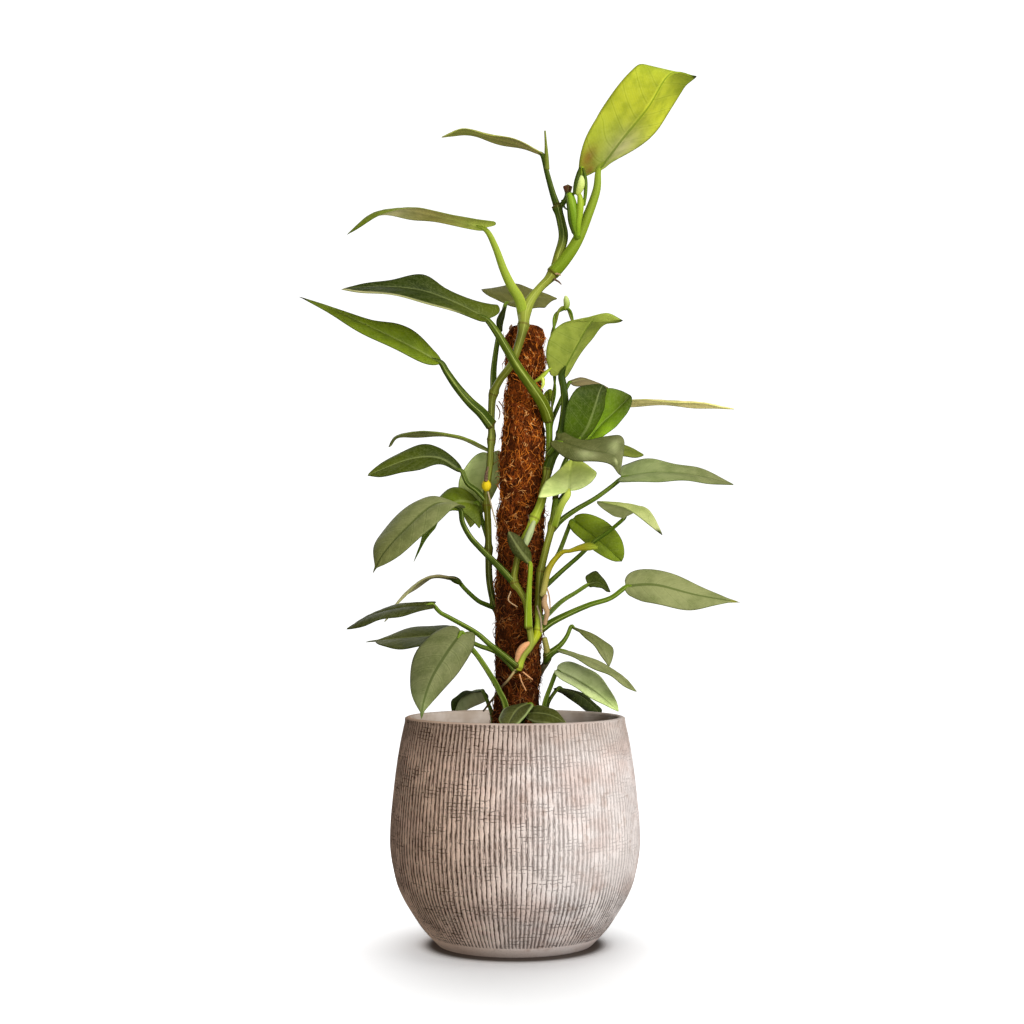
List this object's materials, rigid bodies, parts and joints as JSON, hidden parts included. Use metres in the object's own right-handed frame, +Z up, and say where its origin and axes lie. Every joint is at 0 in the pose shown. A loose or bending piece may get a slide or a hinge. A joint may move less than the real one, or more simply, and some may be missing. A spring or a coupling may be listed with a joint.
{
  "type": "potted climbing plant",
  "caption": "Climbing aroid with long silvery-green leaves on sheathed stalks, trained up a coir pole in a round combed pot.",
  "frame": {"origin": "middle of the pot's flat foot, on the surface it stands on", "axes": "+Z up along the pot's axis, the side in the picture faces -Y, +X to the right in it"},
  "size_m": [0.4022, 0.2387, 0.8025],
  "materials": {
    "pot": "matte",
    "soil": "matte",
    "stake": "matte",
    "coir": "matte",
    "stem": "satin",
    "leaf": "satin",
    "young": "satin",
    "yellow": "satin",
    "dry": "matte"
  },
  "bodies": {
    "root": {"pot": "pot", "soil": "soil", "pole_stake": "stake", "pole_coir": "coir", "vine_left": "stem", "vine_front": "stem", "vine_low": "stem", "leaf_crown": "young", "leaf_dry": "dry", "leaf_left_1": "leaf", "leaf_left_2": "leaf", "leaf_left_3": "leaf", "leaf_back": "leaf", "leaf_right_1": "leaf", "leaf_right_2": "leaf", "leaf_right_3": "leaf", "leaf_right_4": "leaf", "leaf_right_5": "leaf", "leaf_right_6": "leaf", "leaf_right_7": "leaf", "leaf_right_8": "leaf", "leaf_right_9": "leaf", "leaf_right_10": "leaf", "leaf_right_11": "leaf", "leaf_right_12": "leaf", "leaf_right_13": "leaf", "leaf_right_14": "leaf", "leaf_right_15": "leaf", "leaf_right_16": "leaf", "leaf_right_17": "leaf", "leaf_left_4": "leaf", "leaf_left_5": "leaf", "leaf_left_6": "leaf", "leaf_left_7": "leaf", "leaf_left_8": "leaf", "leaf_left_9": "leaf", "leaf_left_10": "leaf", "leaf_left_11": "leaf", "leaf_left_12": "leaf", "leaf_left_13": "leaf", "leaf_front_1": "young", "leaf_front_2": "leaf", "leaf_front_3": "leaf", "leaf_scrap": "leaf", "shoot_tip": "young", "shoot_curled": "young", "sheath_brown": "dry", "bract_yellow": "yellow"}
  },
  "joints": []
}
